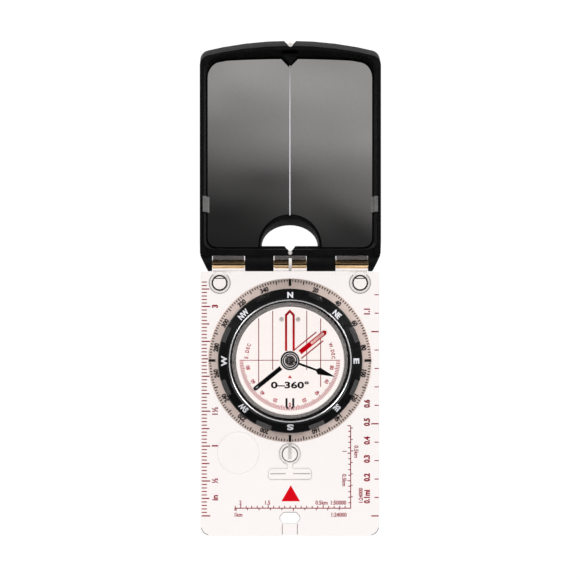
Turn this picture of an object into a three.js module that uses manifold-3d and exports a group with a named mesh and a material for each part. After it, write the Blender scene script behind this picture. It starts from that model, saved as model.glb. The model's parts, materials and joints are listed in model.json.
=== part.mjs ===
// Baseplate compass with a mirror lid, opened flat.
// Millimetres, +Z up, +Y from the plate towards the lid.
// The origin is under the middle of the open compass.
import * as THREE from "three";
import { mergeVertices } from "three/addons/utils/BufferGeometryUtils.js";
import Module from "manifold-3d";

const wasm = await Module();
wasm.setup();

// ---- Driving dimensions -------------------------------------------------
const WIDTH = 65;
const LID_REACH = 80.7; // hinge axis to the lid's far edge
const PLATE_REACH = 98.9; // hinge axis to the plate's front edge
const CLOSED_HEIGHT = 18;
const HALF = WIDTH / 2;
const HINGE_Z = CLOSED_HEIGHT / 2; // half way up, so that the opened lid lies on the table
const HINGE_Y = (PLATE_REACH - LID_REACH) / 2;
const DIAL_Y = HINGE_Y - 35.1; // centre of the rotating dial

const PLATE_BOTTOM = 0.8; // the feet stand this far proud
const PLATE_TOP = 3.8;
const PLATE_FRONT = HINGE_Y - PLATE_REACH;
const PLATE_SHOULDER = HINGE_Y - 2.9; // full-width part of the plate ends here
const PLATE_REAR = HINGE_Y + 2.4;
const CORNER = 3.6;
const LENS = { x: -18.8, y: -59.6, r: 7.6, rise: 0.8 };
const LANYARD = { y: -83.45, halfWidth: 3.5, halfHeight: 2.15, channel: 2.6, depth: 1.4 };

const BARREL_R = 2.75; // hinge knuckles
const KNUCKLES = [5.7, 16.6, 27.9]; // half-widths where the clear and the black knuckles meet
const KNUCKLE_GAP = 0.3;
const PIN_R = 1.2;
const PIN_BORE_R = 1.28;
const PIN_HALF = 30;

const LID_END = HINGE_Y + LID_REACH;
const LID_HINGE_SIDE = HINGE_Y + 2.9;
const LID_RIM = CLOSED_HEIGHT - PLATE_TOP - 0.4; // the closed rim stops just above the plate
const LID_FLOOR = 2;
const LID_ARC_R = 130; // plan radius of the lid's far edge
const REAR_WALL_TOP = 11;
const BEVEL = { z: 7.5, run: 2.6 }; // the far wall leans in above this height, by this much
const CAVITY_TOP = { half: 31, near: 4.9, far: LID_REACH - 3.9, corner: 6, arcR: 150 };
const CAVITY_FLOOR = { half: 30.3, near: 5.7, far: LID_REACH - 5.8, corner: 6.4, arcR: 420 };
const MIRROR = { bottom: 2.4, top: 3.9, gap: 0.3 };
const WINDOW = { y: HINGE_Y + 6.45, halfWidth: 10.2, height: 7.7, collarR: 11.2, collarTop: 5 };
const SIGHT_ROD_R = 0.8;
const SIGHT_BORE_R = 0.92;
const TOP_SIGHT_Y = LID_END - 2.15;
const LOW_SIGHT_Y = HINGE_Y + 3.95;
const CLIP = { y: HINGE_Y + 21.4, half: 2.85, outer: 31.5, inner: 29.3 };

const BORE_R = 25.4; // hole in the plate that the dial turns in
const LEDGE_R = 27; // recess under the plate round that hole
const LEDGE_Z = 1.9;
const DIAL = { outer: 29.8, inner: 25.45, bottom: 4.1, rim: 5.2, top: 5.6 };
const BEZEL = { outer: 26.1, lip: 22.45, bore: 23.05, skirt: 25.1, shoulder: 5.9, rim: 10, top: 11.2 };
const SHELF = { inner: 20.95, bottom: 3.6, top: 4.4 }; // black ledge inside the bezel, over the gear
const LIP_Z = 9.3;
const SCALLOPS = 8;
const SCALLOP = { width: 5.8, start: 24.2, startZ: 10.2, endZ: 7 };
const BASE_DISC = { r: 26.7, bottom: 0.95, top: 1.65 };

const GEAR = { teeth: 124, module: 0.34, addendum: 0.26, dedendum: 0.37, bottom: 2, top: 3.2 };
const PINION_TEETH = 8;
const GEAR_R = (GEAR.teeth * GEAR.module) / 2;
const PINION_R = (PINION_TEETH * GEAR.module) / 2;
const SCREW_R = GEAR_R + PINION_R; // distance of the screw from the dial's centre

const CASE = { wall: 20.5, inside: 19.5, floor: 3, flange: 22.75, flangeZ: 8.2, top: 9 };
const CRYSTAL = { r: 21.5, bottom: 9.1, edge: 10.2, top: 11 };
const CRYSTAL_RING = { inner: 21.75, outer: 22.2, bottom: 9.1, top: 11.3 };
const NEEDLE_AZIMUTH = 51; // degrees clockwise from the lid
const CLINO_AZIMUTH = 110;
const CARD = { bottom: 5, top: 5.25 };
const BAR = { bottom: 5.3, top: 5.5 };
const NORTH_HALF = 0.87; // half the width of the red bar
const SOUTH_HALF = 0.78;
const TILT_Z = 6.9; // height of the pivot's point and of the magnet's trunnions
const HUB = { inner: 2.2, outer: 3.45, bottom: 5.6, top: 8.1 };

const ROUND = 72; // facets of a large ring
const SMALL = 32;
const TINY = 20;

// ---- Shape helpers, all in solids that manifold-3d can join and cut -----
function solidOf(geometry) {
  const loose = geometry.index ? geometry.toNonIndexed() : geometry;
  const bare = new THREE.BufferGeometry();
  bare.setAttribute("position", loose.getAttribute("position"));
  const merged = mergeVertices(bare, 1e-4);
  return new wasm.Manifold(
    new wasm.Mesh({
      numProp: 3,
      vertProperties: merged.attributes.position.array,
      triVerts: new Uint32Array(merged.index.array),
    }),
  );
}

function geometryOf(solid) {
  const mesh = solid.getMesh();
  const geometry = new THREE.BufferGeometry();
  geometry.setAttribute("position", new THREE.BufferAttribute(mesh.vertProperties, 3));
  geometry.setIndex(new THREE.BufferAttribute(mesh.triVerts, 1));
  const flat = geometry.toNonIndexed();
  flat.computeVertexNormals();
  return flat;
}

const join = (first, ...rest) => rest.reduce((sum, next) => sum.add(next), first);
const cut = (first, ...rest) => rest.reduce((left, next) => left.subtract(next), first);
const area = (points) => THREE.ShapeUtils.area(points);
const vectors = (pairs) => pairs.map(([x, y]) => new THREE.Vector2(x, y));

// A flat outline pushed from z0 up to z1.
function prism(outline, z0, z1, holes = []) {
  const shape = new THREE.Shape(outline);
  shape.holes = holes.map((hole) => new THREE.Path(hole));
  const geometry = new THREE.ExtrudeGeometry(shape, { depth: z1 - z0, bevelEnabled: false });
  return solidOf(geometry.translate(0, 0, z0));
}

// An outline in the YZ plane pushed from x0 to x1.
function barAlongX(outline, x0, x1) {
  const shape = new THREE.Shape(outline);
  const geometry = new THREE.ExtrudeGeometry(shape, { depth: x1 - x0, bevelEnabled: false });
  const turn = new THREE.Matrix4().makeBasis(
    new THREE.Vector3(0, 1, 0),
    new THREE.Vector3(0, 0, 1),
    new THREE.Vector3(1, 0, 0),
  );
  return solidOf(geometry.applyMatrix4(turn).translate(x0, 0, 0));
}

// A closed (radius, height) profile turned about a vertical axis.
function lathe(profile, facets = ROUND, x = 0, y = 0) {
  const points = vectors(profile);
  if (area(points) < 0) points.reverse();
  const onAxis = points.some((p) => p.x === 0);
  if (onAxis) while (points[0].x !== 0 || points.at(-1).x !== 0) points.push(points.shift());
  else points.push(points[0].clone());
  const geometry = new THREE.LatheGeometry(points, facets);
  return solidOf(geometry.rotateX(Math.PI / 2).translate(x, y, 0));
}

function circle(x, y, r, facets = SMALL, start = 0, sweep = 2 * Math.PI) {
  const full = sweep === 2 * Math.PI;
  const count = full ? facets : facets + 1;
  return Array.from({ length: count }, (_, i) => {
    const angle = start + (sweep * i) / facets;
    return new THREE.Vector2(x + r * Math.cos(angle), y + r * Math.sin(angle));
  });
}

const disc = (x, y, r, z0, z1, facets = SMALL) => prism(circle(x, y, r, facets), z0, z1);
const ring = (rIn, rOut, z0, z1, facets = ROUND, x = 0, y = 0) =>
  lathe([[rIn, z0], [rOut, z0], [rOut, z1], [rIn, z1]], facets, x, y);

function box(x0, x1, y0, y1, z0, z1) {
  const geometry = new THREE.BoxGeometry(x1 - x0, y1 - y0, z1 - z0);
  return solidOf(geometry.translate((x0 + x1) / 2, (y0 + y1) / 2, (z0 + z1) / 2));
}

// A polygon whose corners [x, y, radius] are rounded; a corner without a radius stays sharp.
function rounded(corners, steps = 6) {
  const out = [];
  corners.forEach(([x, y, r], i) => {
    const here = new THREE.Vector2(x, y);
    if (!r) {
      out.push(here);
      return;
    }
    const before = new THREE.Vector2(...corners.at(i - 1).slice(0, 2)).sub(here).normalize();
    const after = new THREE.Vector2(...corners[(i + 1) % corners.length].slice(0, 2)).sub(here).normalize();
    const half = Math.acos(before.dot(after)) / 2;
    const bisector = before.clone().add(after).normalize();
    const centre = here.clone().addScaledVector(bisector, r / Math.sin(half));
    const first = here.clone().addScaledVector(before, r / Math.tan(half)).sub(centre);
    const last = here.clone().addScaledVector(after, r / Math.tan(half)).sub(centre);
    const sweep = Math.atan2(first.cross(last), first.dot(last));
    for (let k = 0; k <= steps; k++) {
      out.push(first.clone().rotateAround(new THREE.Vector2(), (sweep * k) / steps).add(centre));
    }
  });
  return out;
}

// Outlines of equal length, stacked at rising heights and skinned.
function loft(sections) {
  const count = sections[0].outline.length;
  const positions = sections.flatMap(({ outline, z }) => outline.flatMap((p) => [p.x, p.y, z]));
  const index = [];
  for (let s = 0; s + 1 < sections.length; s++) {
    for (let i = 0; i < count; i++) {
      const a = s * count + i;
      const b = s * count + ((i + 1) % count);
      index.push(a, b, b + count, a, b + count, a + count);
    }
  }
  const last = (sections.length - 1) * count;
  for (const [a, b, c] of THREE.ShapeUtils.triangulateShape(sections[0].outline, [])) index.push(a, c, b);
  for (const [a, b, c] of THREE.ShapeUtils.triangulateShape(sections.at(-1).outline, [])) {
    index.push(last + a, last + b, last + c);
  }
  const geometry = new THREE.BufferGeometry();
  geometry.setAttribute("position", new THREE.Float32BufferAttribute(positions, 3));
  geometry.setIndex(index);
  return solidOf(geometry);
}

const turned = (solid, degrees) => solid.rotate([0, 0, degrees]);
const atDial = (solid) => solid.translate([0, DIAL_Y, 0]);

// ---- Materials ----------------------------------------------------------
const material = (color, roughness, metalness = 0, opacity = 1) =>
  new THREE.MeshStandardMaterial({ color, roughness, metalness, opacity, transparent: opacity < 1 });
const LOOKS = {
  acrylic: material(0xf3f1f0, 0.05, 0, 0.3),
  black: material(0x141416, 0.4),
  mirror: material(0xb4b6b8, 0.03, 1),
  foam: material(0x2a2a2c, 0.9),
  brass: material(0xc8a050, 0.25, 1),
  steel: material(0x9a9ca0, 0.25, 1),
  magnet: material(0x4a4c50, 0.35, 1),
  silicone: material(0xe9e9e8, 0.5, 0, 0.5),
  lume: material(0xc4bdb6, 0.6),
  dial: material(0xc5b4ab, 0.5),
  red: material(0xc8102e, 0.5),
  pink: material(0xf2c0bb, 0.6),
  sapphire: material(0xd04070, 0.05, 0, 0.7),
};

// ---- Base: plate, hinge pin, feet and index marks ------------------------
function knuckleProfile(webNear, webFar, webLow, webHigh) {
  const barrel = circle(HINGE_Y, HINGE_Z, BARREL_R, SMALL);
  const web = vectors([
    [HINGE_Y + webNear, webLow],
    [HINGE_Y + webFar, webLow],
    [HINGE_Y + webFar, webHigh],
    [HINGE_Y + webNear, webHigh],
  ]);
  return { barrel, web };
}

function hingePin(r) {
  return barAlongX(circle(HINGE_Y, HINGE_Z, r, SMALL), -PIN_HALF, PIN_HALF);
}

function plateKnuckles() {
  const { barrel, web } = knuckleProfile(-BARREL_R, 2.4, PLATE_BOTTOM, HINGE_Z);
  const ramp = vectors([
    [HINGE_Y - 4, PLATE_BOTTOM],
    [HINGE_Y, PLATE_BOTTOM],
    [HINGE_Y, 6.2],
    [HINGE_Y - BARREL_R, 6.2],
    [HINGE_Y - 4, PLATE_TOP],
  ]);
  const [inner, middle, outer] = KNUCKLES;
  const spans = [[-outer, -middle], [-inner, inner], [middle, outer]];
  return spans.flatMap(([x0, x1]) => [barrel, web, ramp].map((outline) => barAlongX(outline, x0, x1)));
}

function lens() {
  const { r, rise } = LENS;
  const sphere = (r * r + rise * rise) / (2 * rise);
  const steps = 5;
  const cap = Array.from({ length: steps + 1 }, (_, i) => {
    const radius = (r * i) / steps;
    return [radius, PLATE_TOP - sphere + rise + Math.sqrt(sphere * sphere - radius * radius)];
  });
  return lathe([...cap, [r, PLATE_TOP - 1], [0, PLATE_TOP - 1]], SMALL, LENS.x, LENS.y);
}

const FEET = { rearX: 25.6, rearY: HINGE_Y - 6.9, frontY: -60.2, stem: 2.9, pad: 4, chamfer: 0.3 };
const FOOT_RECESS = { pad: 0.25, padTop: 1.5, stemTop: 2.8 };

// The bar and neck that make the front foot a T, grown by a margin.
function footBar(z0, z1, margin) {
  const neck = 1.1 + margin;
  const half = 8 + margin;
  const near = -65.5 + margin;
  const far = -69.6 - margin;
  const r = 1.2;
  const bar = rounded([[-half, far, r], [half, far, r], [half, near, r], [-half, near, r]], 3);
  return join(prism(bar, z0, z1), box(-neck, neck, near - 1, FEET.frontY - 3, z0, z1));
}

function footSpaces() {
  const centres = [[-FEET.rearX, FEET.rearY], [FEET.rearX, FEET.rearY], [0, FEET.frontY]];
  const low = PLATE_BOTTOM - 0.1;
  return [
    ...centres.map(([x, y]) => disc(x, y, FEET.pad + FOOT_RECESS.pad, low, FOOT_RECESS.padTop)),
    ...centres.map(([x, y]) => disc(x, y, FEET.stem + FOOT_RECESS.pad, low, FOOT_RECESS.stemTop)),
    footBar(low, FOOT_RECESS.padTop, FOOT_RECESS.pad),
  ];
}

function foot(x, y) {
  const padTop = FOOT_RECESS.padTop - 0.1;
  const stemTop = FOOT_RECESS.stemTop - 0.1;
  return lathe(
    [
      [0, 0], [FEET.pad - FEET.chamfer, 0], [FEET.pad, FEET.chamfer], [FEET.pad, padTop],
      [FEET.stem, padTop], [FEET.stem, stemTop], [0, stemTop],
    ],
    SMALL,
    x,
    y,
  );
}

const MARK = { front: [-61.9, -56.1], half: 0.6, bottom: 3.35, proud: 0.05, gap: 0.05 };
const REAR_MARK = { half: 0.5, inner: 2.45, outer: 2.7, gap: 0.05, start: 45, sweep: 150 };

function baseplate() {
  const outline = rounded([
    [-HALF, PLATE_FRONT, CORNER],
    [HALF, PLATE_FRONT, CORNER],
    [HALF, PLATE_SHOULDER, 1],
    [KNUCKLES[2], PLATE_SHOULDER],
    [KNUCKLES[2], PLATE_REAR, 0.6],
    [-KNUCKLES[2], PLATE_REAR, 0.6],
    [-KNUCKLES[2], PLATE_SHOULDER],
    [-HALF, PLATE_SHOULDER, 1],
  ]);
  const { y, halfWidth, halfHeight, channel, depth } = LANYARD;
  const slant = 1.3;
  const slot = vectors([
    [-halfWidth, y - halfHeight + slant],
    [-halfWidth + slant, y - halfHeight],
    [halfWidth - slant, y - halfHeight],
    [halfWidth, y - halfHeight + slant],
    [halfWidth, y + halfHeight - slant],
    [halfWidth - slant, y + halfHeight],
    [-halfWidth + slant, y + halfHeight],
    [-halfWidth, y + halfHeight - slant],
  ]);
  const blank = join(prism(outline, PLATE_BOTTOM, PLATE_TOP), lens(), ...plateKnuckles());
  const [markFar, markNear] = MARK.front;
  const markSide = MARK.half + MARK.gap;
  return cut(
    blank,
    disc(0, DIAL_Y, BORE_R, 0, 5, ROUND),
    disc(0, DIAL_Y, LEDGE_R, 0, LEDGE_Z, ROUND),
    prism(slot, 0, 5),
    box(-channel, channel, PLATE_FRONT - 1, y, PLATE_TOP - depth, 5),
    box(-markSide, markSide, markFar - MARK.gap, markNear + MARK.gap, MARK.bottom - MARK.gap, 5),
    rearMarkGroove(),
    hingePin(PIN_BORE_R),
    ...footSpaces(),
  );
}

// A strip let into the middle knuckle, over its top and down its front.
function knuckleStrip(inner, outer, half, startDegrees, sweepDegrees) {
  const start = THREE.MathUtils.degToRad(startDegrees);
  const sweep = THREE.MathUtils.degToRad(sweepDegrees);
  const over = circle(HINGE_Y, HINGE_Z, outer, 12, start, sweep);
  const under = circle(HINGE_Y, HINGE_Z, inner, 12, start, sweep).reverse();
  return barAlongX([...over, ...under], -half, half);
}

function frontMark() {
  return box(-MARK.half, MARK.half, ...MARK.front, MARK.bottom, PLATE_TOP + MARK.proud);
}

function rearMark() {
  const { inner, outer, half, start, sweep } = REAR_MARK;
  return knuckleStrip(inner, outer, half, start, sweep);
}

function rearMarkGroove() {
  const { inner, half, gap, start, sweep } = REAR_MARK;
  return knuckleStrip(inner - gap, BARREL_R + 1, half + gap, start - 2, sweep + 4);
}

// ---- Lid: shell, mirror, clips and sights --------------------------------
// Plan of the lid: straight sides and a far edge on a wide arc.
function lidOutline(half, near, far, nearCorner, farCorner, arcR = LID_ARC_R) {
  const sag = (x) => arcR - Math.sqrt(arcR * arcR - x * x);
  const spread = [0.75, 0.5, 0.25, 0, -0.25, -0.5, -0.75];
  const arc = spread.map((share) => [share * half, HINGE_Y + far - sag(share * half)]);
  const corner = HINGE_Y + far - sag(half);
  return rounded([
    [-half, HINGE_Y + near, nearCorner],
    [half, HINGE_Y + near, nearCorner],
    [half, corner, farCorner],
    ...arc,
    [-half, corner, farCorner],
  ]);
}

function halfMoon(halfWidth, height, drop, steps = 20) {
  const arch = Array.from({ length: steps + 1 }, (_, i) => {
    const angle = (Math.PI * i) / steps;
    return [halfWidth * Math.cos(angle), WINDOW.y + height * Math.sin(angle)];
  });
  return vectors([...arch, [-halfWidth, WINDOW.y - drop], [halfWidth, WINDOW.y - drop]]);
}

function lidKnuckles() {
  const { barrel, web } = knuckleProfile(0, 3.2, HINGE_Z - BARREL_R, REAR_WALL_TOP - 0.1);
  const [inner, middle, outer] = KNUCKLES;
  const pieces = [];
  for (const side of [-1, 1]) {
    const x0 = side * (inner + KNUCKLE_GAP);
    const x1 = side * (middle - KNUCKLE_GAP);
    pieces.push(...[barrel, web].map((o) => barAlongX(o, Math.min(x0, x1), Math.max(x0, x1))));
    const near = side * (outer + KNUCKLE_GAP);
    const far = side * HALF;
    const cheek = join(...[barrel, web].map((o) => barAlongX(o, Math.min(near, far), Math.max(near, far))));
    const taper = vectors([[outer, -3], [29.5, -3], [31, 0], [32.4, 2.9], [HALF, 3.4], [outer, 3.4]]);
    taper.forEach((p) => p.set(side * p.x, HINGE_Y + p.y));
    pieces.push(cheek.intersect(prism(side > 0 ? taper : taper.reverse(), 0, LID_RIM)));
  }
  return pieces;
}

function sightNotch(yWide, yNarrow, halfWide, halfNarrow) {
  const left = [[-halfWide, yWide], [-halfNarrow, yNarrow]];
  const right = [[halfNarrow, yNarrow], [halfWide, yWide]];
  const outline = vectors([...left, ...right]);
  return prism(area(outline) < 0 ? outline.reverse() : outline, -1, LID_RIM + 1);
}

function collarTabs() {
  const { collarR, collarTop } = WINDOW;
  const halfTab = 0.5;
  const reach = 0.4;
  const low = MIRROR.top + 0.35;
  return [-42, -10, 10, 42].map((degrees) => {
    const tab = box(-halfTab, halfTab, collarR - reach, collarR + reach, low, collarTop - 0.1);
    return turned(tab, degrees).translate([0, WINDOW.y, 0]);
  });
}

function lidShell() {
  const outerLow = lidOutline(HALF, 2.9, LID_REACH, 1, 3.5);
  const outerTop = lidOutline(HALF, 2.9, LID_REACH - BEVEL.run, 1, 3.5);
  const shell = loft([
    { outline: outerLow, z: 0 },
    { outline: outerLow, z: BEVEL.z },
    { outline: outerTop, z: LID_RIM },
  ]);
  const { half, near, far, corner, arcR } = CAVITY_TOP;
  const low = CAVITY_FLOOR;
  const mouth = lidOutline(half, near, far, 3, corner, arcR);
  const cavity = loft([
    { outline: lidOutline(low.half, low.near, low.far, 3.6, low.corner, low.arcR), z: LID_FLOOR },
    { outline: mouth, z: LID_RIM },
    { outline: mouth, z: LID_RIM + 1 },
  ]);
  const noseY = HINGE_Y + low.far;
  const noseHalf = 3.1;
  const nosePoint = [0, noseY - 2.6];
  const noseOutline = vectors([[-noseHalf, noseY + 0.6], nosePoint, [noseHalf, noseY + 0.6]]);
  const nose = prism(noseOutline, 1, LID_RIM - 1.5);
  const wideCollar = circle(0, WINDOW.y, WINDOW.collarR, ROUND / 2, 0, Math.PI);
  const collarEnds = vectors([[-WINDOW.collarR, HINGE_Y + 4], [WINDOW.collarR, HINGE_Y + 4]]);
  const collar = prism([...wideCollar, ...collarEnds], 1, WINDOW.collarTop);
  const funnel = loft([
    { outline: halfMoon(WINDOW.halfWidth, WINDOW.height, 0), z: 1.2 },
    { outline: halfMoon(WINDOW.halfWidth + 0.5, WINDOW.height + 2.4, 0), z: WINDOW.collarTop + 0.1 },
  ]);
  const rearSlope = barAlongX(
    vectors([
      [LID_HINGE_SIDE - 1, REAR_WALL_TOP], [HINGE_Y + 8, LID_RIM],
      [HINGE_Y + 8, 15], [LID_HINGE_SIDE - 1, 15],
    ]),
    -HALF - 1, HALF + 1,
  );
  const rearDrop = box(-30.4, 30.4, HINGE_Y + 2, HINGE_Y + 5.6, REAR_WALL_TOP, 15);
  const clipSpaces = [-1, 1].map((side) => {
    const x0 = side * (CLIP.inner - 0.3);
    const x1 = side * (CLIP.outer + 0.3);
    const y = CLIP.half + 0.3;
    return box(Math.min(x0, x1), Math.max(x0, x1), CLIP.y - y, CLIP.y + y, MIRROR.top, 15);
  });
  const hollow = cut(shell, cavity, rearSlope, rearDrop);
  return cut(
    join(hollow, nose, collar, ...collarTabs(), ...lidKnuckles()),
    prism(halfMoon(WINDOW.halfWidth, WINDOW.height, 0), -1, 15),
    funnel,
    sightNotch(LID_END + 0.5, LID_END - 1.9, 2.6, 0.9),
    sightNotch(WINDOW.y + 0.3, HINGE_Y + 4.7, 2.2, 0.6),
    disc(0, TOP_SIGHT_Y, SIGHT_BORE_R, 3, 15, TINY),
    disc(0, LOW_SIGHT_Y, SIGHT_BORE_R, 3, 15, TINY),
    hingePin(PIN_BORE_R),
    ...clipSpaces,
  );
}

// The mirror's plan, shrunk by a margin: the lid's floor less the window's collar and the sight's nose.
function mirrorPlate(z0, z1, margin) {
  const { half, near, far, corner, arcR } = CAVITY_FLOOR;
  const outline = lidOutline(half - margin, near + margin, far - margin, 3.4, corner - margin, arcR);
  const noseY = HINGE_Y + far;
  const nose = vectors([[-3.6 - margin, noseY + 1], [0, noseY - 2.8 - margin], [3.6 + margin, noseY + 1]]);
  return cut(
    prism(outline, z0, z1),
    disc(0, WINDOW.y, WINDOW.collarR + margin, z0 - 1, z1 + 1, ROUND),
    box(-WINDOW.collarR - margin, WINDOW.collarR + margin, HINGE_Y, WINDOW.y, z0 - 1, z1 + 1),
    prism(nose, z0 - 1, z1 + 1),
  );
}

function mirrorClip(side) {
  const hook = [
    [CLIP.inner, 4.2], [CLIP.outer, 4.2], [CLIP.outer, LID_RIM - 0.1], [CLIP.outer - 1.3, LID_RIM - 0.1],
    [CLIP.outer - 1.6, 5.4], [CLIP.inner, 5],
  ];
  const outline = vectors(hook.map(([x, z]) => [side * x, z]));
  const shape = new THREE.Shape(side > 0 ? outline : outline.reverse());
  const geometry = new THREE.ExtrudeGeometry(shape, { depth: 2 * CLIP.half, bevelEnabled: false });
  return solidOf(geometry.rotateX(Math.PI / 2).translate(0, CLIP.y + CLIP.half, 0));
}

// ---- Dial: the turning ring, its scale ring and its clear floor ----------
function bezelRing() {
  const { outer, lip, bore, skirt, shoulder, rim, top } = BEZEL;
  const profile = [
    [bore, LEDGE_Z], [skirt, LEDGE_Z], [skirt, shoulder], [outer, shoulder],
    [outer, rim - 0.3], [outer - 0.3, rim], [lip + 0.25, top], [lip, top - 0.2],
    [lip, LIP_Z], [bore, LIP_Z], [bore, SHELF.top], [SHELF.inner, SHELF.top],
    [SHELF.inner, SHELF.bottom], [bore, SHELF.bottom],
  ];
  const scallop = () => {
    const { width, start, startZ, endZ } = SCALLOP;
    const slope = [[start, top + 1], [start, startZ], [outer + 0.4, endZ]];
    const outside = [[outer + 2, endZ], [outer + 2, top + 1]];
    const shape = new THREE.Shape(vectors([...slope, ...outside]).reverse());
    const geometry = new THREE.ExtrudeGeometry(shape, { depth: width, bevelEnabled: false });
    return solidOf(geometry.rotateX(Math.PI / 2).translate(0, width / 2, 0));
  };
  const step = 360 / SCALLOPS;
  const scallops = Array.from({ length: SCALLOPS }, (_, i) => turned(scallop(), step * (i + 0.5)));
  const bossBlock = box(-1.7, 1.7, -bore - 0.5, -CASE.wall, SHELF.bottom, 6);
  const boss = cut(bossBlock, disc(0, 0, SHELF.inner, 3, 7, ROUND));
  const pocket = disc(0, -SCREW_R, PINION_R + 0.55, 1.8, SHELF.bottom, TINY);
  const journal = disc(0, -SCREW_R, 0.7, 3, 5.4, TINY);
  return atDial(cut(join(lathe(profile), boss), pocket, journal, ...scallops));
}

function dialRing() {
  const { outer, inner, bottom, rim, top } = DIAL;
  const profile = [[inner, bottom], [outer, bottom], [outer, rim - 0.2], [outer - 0.2, rim], [inner, top]];
  return atDial(lathe(profile));
}

function baseDisc() {
  const { r, bottom, top } = BASE_DISC;
  return atDial(cut(disc(0, 0, r, bottom, top, ROUND), disc(0, -SCREW_R, 1.15, 0, 3, TINY)));
}

// ---- Declination gear ----------------------------------------------------
// A toothed outline with one tooth centred at the angle `phase`, in radians.
// Tooth widths at the root and at the tip are shares of the tooth spacing.
function gearOutline(teeth, phase, rootShare, tipShare) {
  const pitchR = (teeth * GEAR.module) / 2;
  const tipR = pitchR + GEAR.addendum;
  const rootR = pitchR - GEAR.dedendum;
  const step = (2 * Math.PI) / teeth;
  const rise = [[rootR, -rootShare / 2], [tipR, -tipShare / 2]];
  const fall = [[tipR, tipShare / 2], [rootR, rootShare / 2]];
  const corners = [...rise, ...fall];
  return Array.from({ length: teeth * corners.length }, (_, i) => {
    const [r, share] = corners[i % corners.length];
    const angle = phase + (Math.floor(i / corners.length) + share) * step;
    return new THREE.Vector2(r * Math.cos(angle), r * Math.sin(angle));
  });
}

function declinationScrew() {
  const rootR = PINION_R - GEAR.dedendum;
  const outline = gearOutline(PINION_TEETH, Math.PI / 2, 0.5, 0.14);
  const pinion = prism(outline, GEAR.bottom + 0.1, GEAR.top - 0.1);
  const head = [[0, 1], [0.85, 1], [1, 1.15], [1, 1.7]];
  const stem = [[rootR, 1.9], [rootR, GEAR.top], [0.55, GEAR.top + 0.2], [0.55, 5.1], [0, 5.2]];
  const shaft = lathe([...head, ...stem], TINY);
  const slot = box(-0.2, 0.2, -1.2, 1.2, 0.9, 1.5);
  return cut(join(pinion, shaft), slot).translate([0, DIAL_Y - SCREW_R, 0]);
}

// ---- Capsule: toothed case, crystal, pivot, plug and luminous dots --------
function capsuleCase() {
  const { wall, inside, floor, flange, flangeZ, top } = CASE;
  const cup = lathe([
    [0, GEAR.bottom], [wall - 0.2, GEAR.bottom], [wall, GEAR.bottom + 0.2], [wall, flangeZ],
    [flange, flangeZ], [flange, top], [inside, top], [inside, floor], [0, floor],
  ]);
  const gapAtScrew = -Math.PI / 2 + Math.PI / GEAR.teeth;
  const teeth = prism(gearOutline(GEAR.teeth, gapAtScrew, 0.6, 0.18), GEAR.bottom, GEAR.top, [
    circle(0, 0, inside + 0.4, SMALL),
  ]);
  return atDial(cut(join(cup, teeth), fillHole(1)));
}

// A cylinder through the case's wall, off to the rear left.
function fillHole(r, from = CASE.inside - 1, to = CASE.wall + 1) {
  const outline = circle(0, 6, r, TINY);
  return turned(barAlongX(outline, from, to), 157.5);
}

function crystal() {
  const { r, bottom, edge, top } = CRYSTAL;
  const dome = [[r, edge], [r - 0.7, edge + 0.5], [r - 3, top - 0.15], [0, top]];
  return atDial(lathe([[0, bottom], [r, bottom], ...dome]));
}

function crystalRing() {
  const { inner, outer, bottom, top } = CRYSTAL_RING;
  const crown = [[outer, top - 0.2], [outer - 0.2, top], [inner, top - 0.25]];
  return atDial(lathe([[inner, bottom], [outer, bottom], ...crown]));
}

function pivotPin() {
  const base = CASE.floor + 0.05;
  const foot = [[0, base], [1.5, base], [1.5, 3.5], [0.45, 3.7]];
  const point = [[0.45, 5.7], [0.2, 6.2], [0.06, TILT_Z - 0.05], [0, TILT_Z - 0.04]];
  return atDial(lathe([...foot, ...point], TINY));
}

const LUME_DOT = { x: 3, y: 14.9, r: 0.85 };

// ---- Needle, magnet and clinometer ---------------------------------------
const alongNeedle = (solid) => atDial(turned(solid, -NEEDLE_AZIMUTH));

function needleCard() {
  const wide = rounded([[-2.35, -3, 0], [2.35, -3, 0], [2.35, 14.2, 0.6], [-2.35, 14.2, 0.6]], 3);
  const narrow = rounded([[-0.95, -17, 0.6], [0.95, -17, 0.6], [0.95, 17.3, 0.6], [-0.95, 17.3, 0.6]], 3);
  const card = join(
    prism(wide, CARD.bottom, CARD.top),
    prism(narrow, CARD.bottom, CARD.top),
    disc(0, 0, HUB.outer + 0.1, CARD.bottom, CARD.top),
  );
  return alongNeedle(cut(card, disc(0, 0, 1.3, 4, 6)));
}

const LUME_SLOT = rounded(
  [[-0.5, 9.9, 0.1], [0.5, 9.9, 0.1], [0.5, 15.7, 0.45], [-0.5, 15.7, 0.45]],
  3,
);
const SLOT_MIDDLE = 12.8;

function shrunk(outline, scale) {
  return outline.map((p) => new THREE.Vector2(p.x * scale, SLOT_MIDDLE + (p.y - SLOT_MIDDLE) * scale));
}

function needleNorth() {
  const tip = [[NORTH_HALF, 16.3, 0.3], [0, 17.1, 0.3], [-NORTH_HALF, 16.3, 0.3]];
  const outline = rounded([[-NORTH_HALF, 4.7], [NORTH_HALF, 4.7], ...tip], 3);
  return alongNeedle(prism(outline, BAR.bottom, BAR.top, [LUME_SLOT]));
}

function needleSouth() {
  const left = [[-SOUTH_HALF, -4.2], [-SOUTH_HALF, -16.2, 0.2], [-0.42, -16.8, 0.2]];
  const right = [[0.42, -16.8, 0.2], [SOUTH_HALF, -16.2, 0.2], [SOUTH_HALF, -4.2]];
  const outline = rounded([...left, ...right], 2);
  return alongNeedle(prism(outline, BAR.bottom, BAR.top));
}

function trunnion(r, reach) {
  return barAlongX(circle(0, TILT_Z, r, TINY), -reach, reach);
}

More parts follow.
